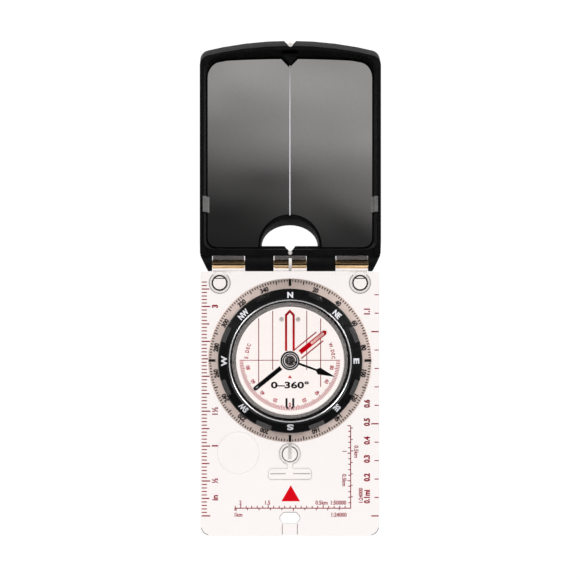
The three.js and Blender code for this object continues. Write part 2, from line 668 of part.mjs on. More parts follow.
function hubRing() {
  const { inner, outer, bottom, top } = HUB;
  const crown = [[outer, top - 0.4], [outer - 0.4, top], [inner + 0.15, top], [inner, top - 0.15]];
  const profile = [[inner, bottom], [outer, bottom], ...crown];
  return alongNeedle(cut(lathe(profile, SMALL), trunnion(0.32, 2.9)));
}

function magnetCradle() {
  const cradle = ring(1.5, 1.95, TILT_Z - 0.7, TILT_Z + 0.7, SMALL);
  const pins = cut(trunnion(0.22, 2.8), disc(0, 0, 1.7, 5, 9));
  return alongNeedle(join(cradle, pins));
}

function jewelCup() {
  const under = TILT_Z - 0.7;
  const hollow = [[0, 7.25], [0.55, 7.25], [0.55, under]];
  const cap = [[0.85, under], [0.85, 7.7], [0.6, 8], [0, 8]];
  const cup = lathe([...hollow, ...cap], TINY);
  return alongNeedle(cup);
}

function clinometerPointer() {
  const rightSide = [[0.42, 1.2], [0.36, 10.2], [1.35, 11.3], [1.15, 12]];
  const leftSide = [[-1.15, 12], [-1.35, 11.3], [-0.36, 10.2], [-0.42, 1.2]];
  const arm = vectors([...rightSide, [0, 17.6], ...leftSide]);
  const pointer = join(prism(arm, 4.05, 4.35), disc(0, 0, 1.7, 4, 4.4));
  return atDial(turned(cut(pointer, disc(0, 0, 0.8, 3, 5, TINY)), -CLINO_AZIMUTH));
}

// ---- Assembly --------------------------------------------------------------
const compass = new THREE.Group();
compass.name = "compass";

function assembly(name, parts) {
  const group = new THREE.Group();
  group.name = name;
  for (const [node, solid, look] of parts) {
    const mesh = new THREE.Mesh(geometryOf(solid), look);
    mesh.name = node;
    group.add(mesh);
  }
  compass.add(group);
}

assembly("base", [
  ["baseplate", baseplate(), LOOKS.acrylic],
  ["hinge_pin", hingePin(PIN_R), LOOKS.brass],
  ["foot_rear_left", foot(-FEET.rearX, FEET.rearY), LOOKS.silicone],
  ["foot_rear_right", foot(FEET.rearX, FEET.rearY), LOOKS.silicone],
  ["foot_front", join(foot(0, FEET.frontY), footBar(0, FOOT_RECESS.padTop - 0.1, 0)), LOOKS.silicone],
  ["index_mark_rear", rearMark(), LOOKS.lume],
  ["index_mark_front", frontMark(), LOOKS.lume],
]);

assembly("lid", [
  ["lid_shell", lidShell(), LOOKS.black],
  ["mirror_adhesive_pad", mirrorPlate(LID_FLOOR + 0.05, MIRROR.bottom - 0.05, 2), LOOKS.foam],
  ["mirror", mirrorPlate(MIRROR.bottom, MIRROR.top, MIRROR.gap), LOOKS.mirror],
  ["mirror_clip_left", mirrorClip(-1), LOOKS.acrylic],
  ["mirror_clip_right", mirrorClip(1), LOOKS.acrylic],
  ["sight_rod_top", disc(0, TOP_SIGHT_Y, SIGHT_ROD_R, 3.1, LID_RIM - 0.6, TINY), LOOKS.lume],
  ["sight_rod_low", disc(0, LOW_SIGHT_Y, SIGHT_ROD_R, 3.1, REAR_WALL_TOP - 0.3, TINY), LOOKS.lume],
]);

assembly("dial", [
  ["bezel_ring", bezelRing(), LOOKS.black],
  ["dial_scale_ring", dialRing(), LOOKS.dial],
  ["dial_base_disc", baseDisc(), LOOKS.acrylic],
]);

assembly("declination_drive", [["declination_screw", declinationScrew(), LOOKS.brass]]);

assembly("capsule", [
  ["capsule_case", capsuleCase(), LOOKS.acrylic],
  ["capsule_crystal", crystal(), LOOKS.acrylic],
  ["crystal_ring", crystalRing(), LOOKS.steel],
  ["pivot_pin", pivotPin(), LOOKS.steel],
  ["capsule_fill_plug", atDial(fillHole(0.9, CASE.inside + 0.1, CASE.wall)), LOOKS.acrylic],
  ["luminous_dot_left", disc(-LUME_DOT.x, DIAL_Y + LUME_DOT.y, LUME_DOT.r, 3.05, 3.2, TINY), LOOKS.lume],
  ["luminous_dot_right", disc(LUME_DOT.x, DIAL_Y + LUME_DOT.y, LUME_DOT.r, 3.05, 3.2, TINY), LOOKS.lume],
]);

assembly("needle", [
  ["needle_card", needleCard(), LOOKS.acrylic],
  ["needle_north", needleNorth(), LOOKS.red],
  ["needle_luminous_insert", alongNeedle(prism(shrunk(LUME_SLOT, 0.94), BAR.bottom, BAR.top)), LOOKS.pink],
  ["needle_south", needleSouth(), LOOKS.black],
  ["needle_hub_ring", hubRing(), LOOKS.black],
]);

assembly("magnet", [
  ["magnet_cradle", magnetCradle(), LOOKS.steel],
  ["ring_magnet", alongNeedle(ring(0.95, 1.42, TILT_Z - 0.6, TILT_Z + 0.6, SMALL)), LOOKS.magnet],
  ["jewel_cup", jewelCup(), LOOKS.steel],
  ["pivot_jewel", atDial(disc(0, 0, 0.45, TILT_Z + 0.02, TILT_Z + 0.25, TINY)), LOOKS.sapphire],
]);

assembly("clinometer", [["clinometer_pointer", clinometerPointer(), LOOKS.black]]);

export default compass;
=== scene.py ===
"""Baseplate compass with a mirror lid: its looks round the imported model. Prints are in millimetres."""

import json
import math

import bmesh
import bpy
from mathutils import Matrix, Vector


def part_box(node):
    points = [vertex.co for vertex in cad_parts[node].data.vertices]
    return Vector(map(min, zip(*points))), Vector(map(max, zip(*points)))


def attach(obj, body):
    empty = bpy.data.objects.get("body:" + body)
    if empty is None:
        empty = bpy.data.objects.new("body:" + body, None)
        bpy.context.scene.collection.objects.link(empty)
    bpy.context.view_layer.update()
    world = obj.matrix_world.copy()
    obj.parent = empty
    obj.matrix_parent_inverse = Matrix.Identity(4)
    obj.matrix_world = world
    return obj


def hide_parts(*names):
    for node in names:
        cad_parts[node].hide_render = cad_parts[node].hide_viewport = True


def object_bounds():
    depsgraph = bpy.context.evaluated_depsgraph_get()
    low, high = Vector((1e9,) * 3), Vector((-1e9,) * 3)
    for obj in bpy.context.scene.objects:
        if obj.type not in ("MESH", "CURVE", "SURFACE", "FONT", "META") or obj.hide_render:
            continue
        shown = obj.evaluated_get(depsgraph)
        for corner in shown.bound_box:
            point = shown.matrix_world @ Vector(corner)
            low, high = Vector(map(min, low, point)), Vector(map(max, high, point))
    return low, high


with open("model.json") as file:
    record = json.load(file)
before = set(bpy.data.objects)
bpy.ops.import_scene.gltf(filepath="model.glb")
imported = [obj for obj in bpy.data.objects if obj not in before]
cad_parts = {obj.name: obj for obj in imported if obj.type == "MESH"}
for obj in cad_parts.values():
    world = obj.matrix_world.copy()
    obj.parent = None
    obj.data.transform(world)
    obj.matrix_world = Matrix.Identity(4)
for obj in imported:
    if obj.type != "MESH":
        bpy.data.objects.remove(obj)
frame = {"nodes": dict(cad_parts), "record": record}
cad_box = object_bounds()

MM = 0.001
BODY_OF = {node: body for body, nodes in frame["record"]["behaviour"]["bodies"].items() for node in nodes}
SLOT_OF = {row["node"]: row["material_slot"] for row in frame["record"]["subparts"]}


def middle(node):
    low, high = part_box(node)
    return (low + high) / 2


HINGE = middle("hinge_pin")
DIAL = middle("dial_scale_ring")
PLATE_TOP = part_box("index_mark_front")[1].z - 0.05 * MM
MIRROR_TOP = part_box("mirror")[1].z
CAPSULE_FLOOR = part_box("luminous_dot_left")[0].z - 0.05 * MM
NEEDLE_AZIMUTH = 51.0


# ---- Camera, light and stage ----------------------------------------------
CAMERA = Vector((-0.0119, -0.0004, 0.7))
VIEW_WIDTH = 0.2122
VIEW_MIDDLE = 0.0001
WHITE = (1, 1, 1, 1)
FLOOR_GLOW = 0.985
FLOOR_GREY = 0.06
WORLD_STRENGTH = 1.3
STAGE_HALF = 4
CARD_HEIGHT = 2.6
CARD_SLANT = 0.3
CARD_CLOUDS = (7, 17, 1)
CARD_PATCHINESS = (0.68, 1.32)
CARD_SHADOWS = [  # x, y, half width, half height, turn in degrees and depth of a soft dark patch
    (0.0, 0.192, 0.12, 0.022, 0, 0.6),
    (-0.06, 0.135, 0.1, 0.03, 0, 0.3),
    (0.15, 0.11, 0.11, 0.03, -33, 0.6),
]
CARD_TONES = [  # place along the card's slope, and brightness
    (0.0, 0.011), (0.103, 0.026), (0.144, 0.056), (0.164, 0.079), (0.205, 0.147), (0.232, 0.195),
    (0.284, 0.272), (0.354, 0.362), (0.462, 0.36), (0.57, 0.25), (0.767, 0.02),
]


def make_camera():
    camera = bpy.data.cameras.new("camera")
    camera.lens = camera.sensor_width * CAMERA.z / VIEW_WIDTH
    camera.shift_x = (VIEW_MIDDLE - CAMERA.x) / VIEW_WIDTH
    holder = bpy.data.objects.new("camera", camera)
    holder.location = CAMERA
    bpy.context.collection.objects.link(holder)
    bpy.context.scene.camera = holder


def add_object(name, mesh):
    piece = bpy.data.objects.new(name, mesh)
    bpy.context.collection.objects.link(piece)
    return piece


def plane(name, half, z):
    mesh = bpy.data.meshes.new(name)
    corners = [(-half, -half, z), (half, -half, z), (half, half, z), (-half, half, z)]
    mesh.from_pydata(corners, [], [(0, 1, 2, 3)])
    piece = add_object(name, mesh)
    return piece


def emission(nodes, strength):
    node = nodes.new("ShaderNodeEmission")
    node.inputs["Color"].default_value = WHITE
    node.inputs["Strength"].default_value = strength
    return node


def make_floor():
    """A white table that glows, so that it stays pale under the object, and is clear from below."""
    material = bpy.data.materials.new("floor")
    material.use_nodes = True
    nodes, links = material.node_tree.nodes, material.node_tree.links
    nodes.clear()
    paint = nodes.new("ShaderNodeBsdfDiffuse")
    paint.inputs["Color"].default_value = (FLOOR_GREY, FLOOR_GREY, FLOOR_GREY, 1)
    glow = emission(nodes, FLOOR_GLOW)
    both = nodes.new("ShaderNodeAddShader")
    links.new(paint.outputs[0], both.inputs[0])
    links.new(glow.outputs[0], both.inputs[1])
    below = nodes.new("ShaderNodeNewGeometry").outputs["Backfacing"]
    choice = nodes.new("ShaderNodeMixShader")
    links.new(below, choice.inputs[0])
    links.new(both.outputs[0], choice.inputs[1])
    links.new(nodes.new("ShaderNodeBsdfTransparent").outputs[0], choice.inputs[2])
    links.new(choice.outputs[0], nodes.new("ShaderNodeOutputMaterial").inputs["Surface"])
    plane("floor", STAGE_HALF, cad_box[0].z - 0.2 * MM).data.materials.append(material)


def make_card():
    """The dark card over the table that the mirror sees: it pales away from the plate, unevenly."""
    material = bpy.data.materials.new("card")
    material.use_nodes = True
    nodes, links = material.node_tree.nodes, material.node_tree.links
    nodes.clear()
    place = nodes.new("ShaderNodeTexCoord").outputs["Object"]
    split = nodes.new("ShaderNodeSeparateXYZ")
    links.new(place, split.inputs[0])
    slant = nodes.new("ShaderNodeMath")
    slant.operation = "MULTIPLY_ADD"
    links.new(split.outputs["X"], slant.inputs[0])
    slant.inputs[1].default_value = CARD_SLANT
    links.new(split.outputs["Y"], slant.inputs[2])
    ramp = nodes.new("ShaderNodeValToRGB")
    while len(ramp.color_ramp.elements) < len(CARD_TONES):
        ramp.color_ramp.elements.new(0.5)
    for element, (position, tone) in zip(ramp.color_ramp.elements, CARD_TONES):
        element.position = position
        element.color = (tone, tone, tone, 1)
    links.new(slant.outputs[0], ramp.inputs[0])
    clouds = nodes.new("ShaderNodeTexNoise")
    clouds.inputs["Scale"].default_value = 1.0
    clouds.inputs["Detail"].default_value = 1.0
    wide = nodes.new("ShaderNodeMapping")
    wide.inputs["Scale"].default_value = CARD_CLOUDS
    links.new(place, wide.inputs["Vector"])
    links.new(wide.outputs[0], clouds.inputs["Vector"])
    patchy = nodes.new("ShaderNodeMapRange")
    patchy.inputs["To Min"].default_value = CARD_PATCHINESS[0]
    patchy.inputs["To Max"].default_value = CARD_PATCHINESS[1]
    links.new(clouds.outputs["Fac"], patchy.inputs["Value"])
    glow = emission(nodes, 1.0)
    links.new(ramp.outputs[0], glow.inputs["Color"])
    strength = patchy.outputs["Result"]
    for x, y, half_x, half_y, turn, depth in CARD_SHADOWS:
        spot = nodes.new("ShaderNodeMapping")
        spot.vector_type = "TEXTURE"
        spot.inputs["Location"].default_value = (x, y, CARD_HEIGHT)
        spot.inputs["Rotation"].default_value = (0, 0, math.radians(turn))
        spot.inputs["Scale"].default_value = (half_x, half_y, 1)
        links.new(place, spot.inputs["Vector"])
        fade = nodes.new("ShaderNodeTexGradient")
        fade.gradient_type = "SPHERICAL"
        links.new(spot.outputs[0], fade.inputs["Vector"])
        darker = nodes.new("ShaderNodeMath")
        darker.operation = "MULTIPLY_ADD"
        links.new(fade.outputs["Fac"], darker.inputs[0])
        darker.inputs[1].default_value = -depth
        links.new(strength, darker.inputs[2])
        strength = darker.outputs[0]
    links.new(strength, glow.inputs["Strength"])
    links.new(glow.outputs[0], nodes.new("ShaderNodeOutputMaterial").inputs["Surface"])
    card = plane("card", STAGE_HALF, CARD_HEIGHT)
    card.data.materials.append(material)
    card.visible_camera = False


def soft_light(name, place, size, power):
    light = bpy.data.lights.new(name, "AREA")
    light.shape = "DISK"
    light.size = size
    light.energy = power
    holder = bpy.data.objects.new(name, light)
    holder.location = place
    holder.rotation_euler = (-Vector(place)).to_track_quat("-Z", "Y").to_euler()
    bpy.context.collection.objects.link(holder)
    return holder


def make_light():
    world = bpy.data.worlds.new("studio")
    world.use_nodes = True
    world.node_tree.nodes["Background"].inputs["Color"].default_value = WHITE
    world.node_tree.nodes["Background"].inputs["Strength"].default_value = WORLD_STRENGTH
    bpy.context.scene.world = world
    bpy.context.scene.view_settings.view_transform = "Standard"
    soft_light("left", (-1.7, 1.3, 0.72), 1.4, 44)
    soft_light("right", (1.7, 1.1, 0.75), 1.4, 44)
    overhead = soft_light("overhead", (0.0, 0.1, 2.4), 1.8, 24)
    overhead.visible_glossy = False
    overhead.visible_transmission = False


# ---- Materials --------------------------------------------------------------
class Finish:
    """A Principled material whose colour, roughness and surface are varied by noise."""

    def __init__(self, name, color, **sockets):
        self.material = bpy.data.materials.new(name)
        self.material.use_nodes = True
        self.tree = self.material.node_tree
        self.shader = self.tree.nodes["Principled BSDF"]
        self.shader.inputs["Base Color"].default_value = (*color, 1)
        for socket, value in sockets.items():
            self.shader.inputs[socket.replace("_", " ")].default_value = value
        self.place = self.tree.nodes.new("ShaderNodeTexCoord").outputs["Object"]

    def link(self, source, target):
        self.tree.links.new(source, target)

    def noise(self, grain, detail=3.0, stretch=(1, 1, 1)):
        """Noise with features about grain millimetres across, longer along a stretched axis."""
        mapping = self.tree.nodes.new("ShaderNodeMapping")
        mapping.inputs["Scale"].default_value = [1 / (grain * MM * s) for s in stretch]
        node = self.tree.nodes.new("ShaderNodeTexNoise")
        node.inputs["Scale"].default_value = 1.0
        node.inputs["Detail"].default_value = detail
        self.link(self.place, mapping.inputs["Vector"])
        self.link(mapping.outputs[0], node.inputs["Vector"])
        return node.outputs["Fac"]

    def spread(self, source, low, high):
        node = self.tree.nodes.new("ShaderNodeMapRange")
        node.inputs["From Min"].default_value = 0.3
        node.inputs["From Max"].default_value = 0.7
        node.inputs["To Min"].default_value = low
        node.inputs["To Max"].default_value = high
        self.link(source, node.inputs["Value"])
        return node.outputs["Result"]

    def colors(self, source, first, second):
        node = self.tree.nodes.new("ShaderNodeMix")
        node.data_type = "RGBA"
        node.inputs["A"].default_value = (*first, 1)
        node.inputs["B"].default_value = (*second, 1)
        self.link(source, node.inputs["Factor"])
        self.link(node.outputs["Result"], self.shader.inputs["Base Color"])
        return self

    def mottled(self, grain, first, second):
        return self.colors(self.spread(self.noise(grain), 0, 1), first, second)

    def rough(self, grain, low, high, stretch=(1, 1, 1)):
        self.link(self.spread(self.noise(grain, 3, stretch), low, high), self.shader.inputs["Roughness"])
        return self

    def grained(self, grain, depth, strength=0.3, stretch=(1, 1, 1)):
        bump = self.tree.nodes.new("ShaderNodeBump")
        bump.inputs["Strength"].default_value = strength
        bump.inputs["Distance"].default_value = depth * MM
        self.link(self.noise(grain, 2, stretch), bump.inputs["Height"])
        self.link(bump.outputs[0], self.shader.inputs["Normal"])
        return self

    def clear_shadow(self):
        """Lets light through to what lies under a clear part."""
        nodes = self.tree.nodes
        rays = nodes.new("ShaderNodeLightPath")
        through = nodes.new("ShaderNodeBsdfTransparent").outputs[0]
        shown = self.shader.outputs[0]
        for ray in ("Is Diffuse Ray", "Is Shadow Ray"):
            mix = nodes.new("ShaderNodeMixShader")
            self.link(rays.outputs[ray], mix.inputs[0])
            self.link(shown, mix.inputs[1])
            self.link(through, mix.inputs[2])
            shown = mix.outputs[0]
        self.link(shown, nodes["Material Output"].inputs["Surface"])
        return self


def clear_plastic(name, tint, second, ior=1.49):
    finish = Finish(name, tint, Transmission_Weight=1.0, IOR=ior).mottled(9, tint, second)
    return finish.rough(2.5, 0.0, 0.035).grained(6, 0.01, 0.08).clear_shadow().material


def matt_plastic(name, first, second, rough=(0.4, 0.55), grain=0.25, depth=0.012, gloss=0.2):
    finish = Finish(name, first, Specular_IOR_Level=gloss).mottled(3, first, second)
    return finish.rough(0.8, *rough).grained(grain, depth).material


def blurred_clear(name, first, second, clear, ior, grains, rough, depth):
    """A clear material that blurs. The grains are those of its colour, roughness and surface."""
    finish = Finish(name, first, Transmission_Weight=clear, IOR=ior).mottled(grains[0], first, second)
    return finish.rough(grains[1], *rough).grained(grains[2], depth).clear_shadow().material


def ink(name, first, second):
    finish = Finish(name, first, Specular_IOR_Level=0.08).mottled(0.8, first, second)
    return finish.rough(0.4, 0.45, 0.6).grained(0.15, 0.004).material


def metal(name, first, second, rough, stretch=(1, 1, 1)):
    finish = Finish(name, first, Metallic=1.0).mottled(1.5, first, second)
    return finish.rough(0.3, *rough, stretch).grained(0.12, 0.004, 0.3, stretch).material


INDEX_CAPSULE = 1.18  # below real plastic's, because damping liquid would fill the capsule
INDEX_CRYSTAL = 1.05
CAPSULE_TINTS = ((1.0, 0.976, 0.966), (0.995, 0.966, 0.956))
ALONG_PIN = (8, 1, 1)
MATERIALS = [
    clear_plastic("clear_acrylic", (1.0, 0.95, 0.932), (0.995, 0.94, 0.922)),
    matt_plastic("black_plastic", (0.002, 0.002, 0.0022), (0.004, 0.004, 0.0043),
                 rough=(0.5, 0.65), depth=0.006, gloss=0.06),
    metal("mirror_glass", (0.79, 0.765, 0.755), (0.77, 0.745, 0.735), (0.015, 0.03)),
    matt_plastic("foam_tape", (0.02, 0.02, 0.02), (0.04, 0.04, 0.04),
                 rough=(0.8, 0.95), grain=0.4, depth=0.08),
    metal("brass", (0.9, 0.67, 0.38), (0.84, 0.6, 0.32), (0.12, 0.2), ALONG_PIN),
    metal("steel", (0.74, 0.74, 0.75), (0.64, 0.64, 0.66), (0.22, 0.34)),
    metal("magnet_steel", (0.25, 0.25, 0.26), (0.18, 0.18, 0.19), (0.3, 0.42)),
    blurred_clear("silicone", (0.99, 0.985, 0.98), (0.97, 0.965, 0.96), clear=0.96, ior=1.2,
                  grains=(1.2, 0.5, 0.2), rough=(0.3, 0.45), depth=0.01),
    matt_plastic("luminous", (0.56, 0.53, 0.51), (0.62, 0.59, 0.57),
                 rough=(0.5, 0.65), grain=0.1, depth=0.006),
    matt_plastic("dial_face", (0.65, 0.53, 0.485), (0.59, 0.48, 0.435),
                 rough=(0.5, 0.65), grain=0.18, depth=0.008),
    matt_plastic("red_plastic", (0.52, 0.0, 0.006), (0.46, 0.0, 0.005),
                 rough=(0.35, 0.5), grain=0.2, depth=0.006, gloss=0.05),
    matt_plastic("luminous_red", (0.84, 0.48, 0.45), (0.78, 0.43, 0.41),
                 rough=(0.5, 0.6), grain=0.1, depth=0.006),
    blurred_clear("jewel", (0.75, 0.12, 0.28), (0.7, 0.1, 0.25), clear=0.8, ior=1.77,
                  grains=(0.3, 0.2, 0.2), rough=(0.01, 0.04), depth=0.002),
    clear_plastic("clear_capsule", *CAPSULE_TINTS, INDEX_CAPSULE),
    clear_plastic("clear_crystal", *CAPSULE_TINTS, INDEX_CRYSTAL),
    matt_plastic("luminous_dot", (0.88, 0.82, 0.78), (0.82, 0.76, 0.72),
                 rough=(0.5, 0.65), grain=0.1, depth=0.006),
    matt_plastic("frosted_clip", (0.12, 0.118, 0.116), (0.08, 0.079, 0.078),
                 rough=(0.3, 0.5), grain=0.5, depth=0.02, gloss=0.4),
    # painted shade: a dark tint on the capsule's rim, where the clear wall shows dark
    clear_plastic("capsule_rim_shade", (0.05, 0.05, 0.05), (0.035, 0.035, 0.035), INDEX_CAPSULE),
    # painted reflection: a grey for the ledge's ribs, standing in for fine light rings
    matt_plastic("rib_painted_sheen", (0.2, 0.2, 0.2), (0.14, 0.14, 0.14), rough=(0.35, 0.5)),
    matt_plastic("grip_plastic", (0.003, 0.003, 0.0032), (0.005, 0.005, 0.0054),
                 rough=(0.16, 0.24), depth=0.004, gloss=0.35),
]
# The frame's own materials have some of these names already, so Blender numbers the new ones.
FINISHES = {material.name.partition(".")[0]: material for material in MATERIALS}
EDGE_SHADES = {  # painted shade: darker tints for the bevelled rims of clear parts, where clear edges look dark
    "clear_acrylic": clear_plastic("clear_acrylic_edge_shade", (0.45, 0.43, 0.43), (0.38, 0.36, 0.36), 1.2),
    "silicone": clear_plastic("silicone_edge_shade", (0.3, 0.29, 0.29), (0.24, 0.23, 0.23), 1.2),
    "clear_capsule": clear_plastic("clear_capsule_edge_shade", (0.55, 0.54, 0.54), (0.48, 0.47, 0.47), 1.15),
}
NODE_FINISH = {  # nodes that look different from their slot
    "capsule_case": "clear_capsule", "capsule_crystal": "clear_crystal",
    "dial_base_disc": "clear_capsule", "needle_card": "clear_capsule", "capsule_fill_plug": "clear_capsule",
    "mirror_clip_left": "frosted_clip", "mirror_clip_right": "frosted_clip", "bezel_ring": "grip_plastic",
    "jewel_cup": "magnet_steel", "luminous_dot_left": "luminous_dot", "luminous_dot_right": "luminous_dot",
}
# painted shade: a near-black tint for the knuckle strip and the dark rings round the feet
SHADE = clear_plastic("dark_line", (0.012, 0.011, 0.011), (0.008, 0.007, 0.007), 1.03)
# painted shade: a faint tint for the dark-looking edge of the plate's lens
FAINT = clear_plastic("faint_line", (0.9, 0.88, 0.88), (0.86, 0.84, 0.84), 1.1)
CRIMSON = ink("ink_crimson", (0.27, 0.001, 0.018), (0.23, 0.001, 0.015))
BRIGHT_RED = ink("ink_red", (0.6, 0.0, 0.006), (0.54, 0.0, 0.005))
ARROW_RED = ink("ink_arrow", (0.64, 0.012, 0.022), (0.58, 0.01, 0.018))
SCALE_RED = ink("ink_scale", (0.5, 0.002, 0.03), (0.44, 0.002, 0.026))
DARK_RED = ink("ink_dark_red", (0.36, 0.006, 0.014), (0.3, 0.005, 0.012))
BLACK_INK = ink("ink_black", (0.012, 0.01, 0.01), (0.02, 0.016, 0.016))
PALE_INK = ink("ink_silver", (0.62, 0.62, 0.65), (0.55, 0.55, 0.58))


# ---- Fine forms over the CAD solids ------------------------------------------
SMOOTH_ANGLE = 32  # degrees; edges that turn more are bevelled
SHARPER = {"bezel_ring": 12}
# painted shade: dark tints for the capsule's rim and the plate's knuckle strip
SHADED = {"capsule_case": FINISHES["capsule_rim_shade"], "baseplate": SHADE}
RIM_HEIGHT = 8.5 * MM  # the capsule's upward faces above this get a painted shade, a dark tint
KNUCKLE_STRIP = (1.6, 2.7)  # millimetres beyond the hinge's axis: painted shade, a dark strip on the plate's clear knuckles where the black lid shows through
BORE_REACH = 1.35 * MM
BORE_CLOSING = 0.09
MERGE_DISTANCE = 1e-6
FLAT_ANGLE = 0.6  # degrees
EDGE_RADII = {
    "baseplate": 0.25, "lid_shell": 0.3, "bezel_ring": 0.12, "dial_scale_ring": 0.1, "dial_base_disc": 0.1,
    "mirror": 0.1, "hinge_pin": 0.15, "capsule_case": 0.08, "capsule_crystal": 0.12, "crystal_ring": 0.08,
    "foot_rear_left": 0.3, "foot_rear_right": 0.3, "foot_front": 0.3, "mirror_clip_left": 0.15,
    "mirror_clip_right": 0.15, "sight_rod_top": 0.12, "sight_rod_low": 0.12, "needle_hub_ring": 0.06,
}


def tighten_bore(form):
    """Closes the clear knuckles' bore onto the pin, so that the pin fills it as in the photograph."""
    for vert in form.verts:
        reach = Vector((0, vert.co.y - HINGE.y, vert.co.z - HINGE.z))
        if reach.length < BORE_REACH:
            vert.co -= reach * BORE_CLOSING


def refined(node):
    """The node's own form with its flats merged and its edges rounded, in the slot's finish, with painted
    shade on the bevels of clear parts, the capsule's rim and the plate's knuckle strip.
    """
    mesh = frame["nodes"][node].data.copy()
    for layer in [a for a in mesh.attributes if a.name == "custom_normal"]:
        mesh.attributes.remove(layer)
    finish = NODE_FINISH.get(node, SLOT_OF[node])
    mesh.materials.clear()
    mesh.materials.append(FINISHES[finish])
    form = bmesh.new()
    form.from_mesh(mesh)
    bmesh.ops.remove_doubles(form, verts=form.verts, dist=MERGE_DISTANCE)
    bmesh.ops.dissolve_limit(form, angle_limit=math.radians(FLAT_ANGLE), verts=form.verts, edges=form.edges)
    if node == "baseplate":
        tighten_bore(form)
    for face in form.faces:
        face.smooth = True
        # painted shade: dark tints on the capsule's upper faces and on the strip of the plate's knuckles
        if node == "capsule_case" and face.normal.z > 0.5 and face.verts[0].co.z > RIM_HEIGHT:
            face.material_index = 2
        beyond = (face.calc_center_median().y - HINGE.y) / MM
        if node == "baseplate" and face.normal.z > 0.1 and KNUCKLE_STRIP[0] < beyond < KNUCKLE_STRIP[1]:
            face.material_index = 2
    form.to_mesh(mesh)
    form.free()
    piece = add_object(node + "_form", mesh)
    bevel = piece.modifiers.new("rounded_edges", "BEVEL")
    bevel.width = EDGE_RADII.get(node, 0.05) * MM
    bevel.segments = 2
    bevel.limit_method = "ANGLE"
    bevel.angle_limit = math.radians(SHARPER.get(node, SMOOTH_ANGLE))
    bevel.harden_normals = True
    # painted shade: the bevel faces of clear parts take the darker edge tint
    if finish in EDGE_SHADES:
        mesh.materials.append(EDGE_SHADES[finish])
        bevel.material = 1
    if node in SHADED:
        mesh.materials.append(SHADED[node])
    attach(piece, BODY_OF[node])
    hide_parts(node)


# ---- Prints --------------------------------------------------------------------
INK_THICKNESS = 0.02
INK_GAP = 0.006
CAP_HEIGHT = 0.7  # of the built-in font at size 1
drawn_words = {}


def words_mesh(words, weight):
    """The words as a flat closed mesh, from x 0, one unit thick."""
    if (words, weight) not in drawn_words:
        curve = bpy.data.curves.new("words", "FONT")
        curve.body = words
        curve.resolution_u = 3
        curve.offset = weight
        curve.extrude = 0.5
        holder = add_object("words", curve)
        bpy.context.view_layer.update()
        shown = holder.evaluated_get(bpy.context.evaluated_depsgraph_get())
        drawn_words[words, weight] = bpy.data.meshes.new_from_object(shown)
        bpy.data.objects.remove(holder)
    return drawn_words[words, weight]


class Print:
    """Thin closed shapes on one surface, gathered into one piece. Places are millimetres from origin."""

    def __init__(self, origin, surface, rise=None):
        self.form = bmesh.new()
        self.origin = origin
        self.surface = surface
        self.rise = rise or (lambda r: 0.0)

    def shape(self, outline):
        layers = [[self.form.verts.new((x, y, z)) for x, y in outline] for z in (0, INK_THICKNESS)]
        self.form.faces.new(layers[0][::-1])
        self.form.faces.new(layers[1])
        for i, corner in enumerate(layers[0]):
            after = (i + 1) % len(outline)
            self.form.faces.new((corner, layers[0][after], layers[1][after], layers[1][i]))

    def bar(self, start, end, width):
        start, end = Vector(start), Vector(end)
        side = (end - start).orthogonal().normalized() * width / 2
        self.shape([start - side, end - side, end + side, start + side])

    def radial(self, azimuth, inner, outer, width):
        a = math.radians(azimuth)
        ray = Vector((math.sin(a), math.cos(a)))
        self.bar(ray * inner, ray * outer, width)

    def arc(self, radius, width, start, end, steps):
        """A curved line between two azimuths."""
        turns = [math.radians(start + (end - start) * i / steps) for i in range(steps + 1)]
        low, high = radius - width / 2, radius + width / 2
        for a, b in zip(turns, turns[1:]):
            corners = ((low, a), (high, a), (high, b), (low, b))
            self.shape([(r * math.sin(t), r * math.cos(t)) for r, t in corners])

    def write(self, words, x, y, height, turn=0.0, narrow=0.8, weight=0.012):
        """Words centred at x, y, turned anticlockwise by turn degrees."""
        copy = words_mesh(words, weight).copy()
        low = Vector(map(min, zip(*(v.co for v in copy.vertices))))
        high = Vector(map(max, zip(*(v.co for v in copy.vertices))))
        scale = height / CAP_HEIGHT
        centre = Matrix.Translation(-Vector(((low.x + high.x) / 2, CAP_HEIGHT / 2, low.z)))
        size = Matrix.Diagonal((scale * narrow, scale, INK_THICKNESS, 1))
        turned = Matrix.Rotation(math.radians(turn), 4, "Z")
        copy.transform(Matrix.Translation((x, y, 0)) @ turned @ size @ centre)
        self.form.from_mesh(copy)
        bpy.data.meshes.remove(copy)

    def write_round(self, words, azimuth, radius, height, **kwargs):
        """Words at an azimuth on a dial, with their tops outward."""
        a = math.radians(azimuth)
        self.write(words, radius * math.sin(a), radius * math.cos(a), height, -azimuth, **kwargs)

    def place(self, name, body, material):
        bmesh.ops.remove_doubles(self.form, verts=self.form.verts, dist=1e-5)
        for vert in self.form.verts:
            lift = self.rise(math.hypot(vert.co.x, vert.co.y))
            x, y, z = vert.co.x * MM, vert.co.y * MM, (vert.co.z + lift + INK_GAP) * MM
            vert.co = (self.origin.x + x, self.origin.y + y, self.surface + z)
        bmesh.ops.recalc_face_normals(self.form, faces=self.form.faces)
        mesh = bpy.data.meshes.new(name)
        self.form.to_mesh(mesh)
        self.form.free()
        mesh.materials.append(material)
        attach(add_object(name, mesh), body)


SCALE_START = -91.7  # first tick of both side scales, from the hinge's axis
INCH = 25.4
UPWARD = 90.0
DOWNWARD = -90.0
RULE_HEIGHT = 1.95
RULE_NUMBER_X = -27.3
RULE_TICKS = 68
MILE_TICKS = 13


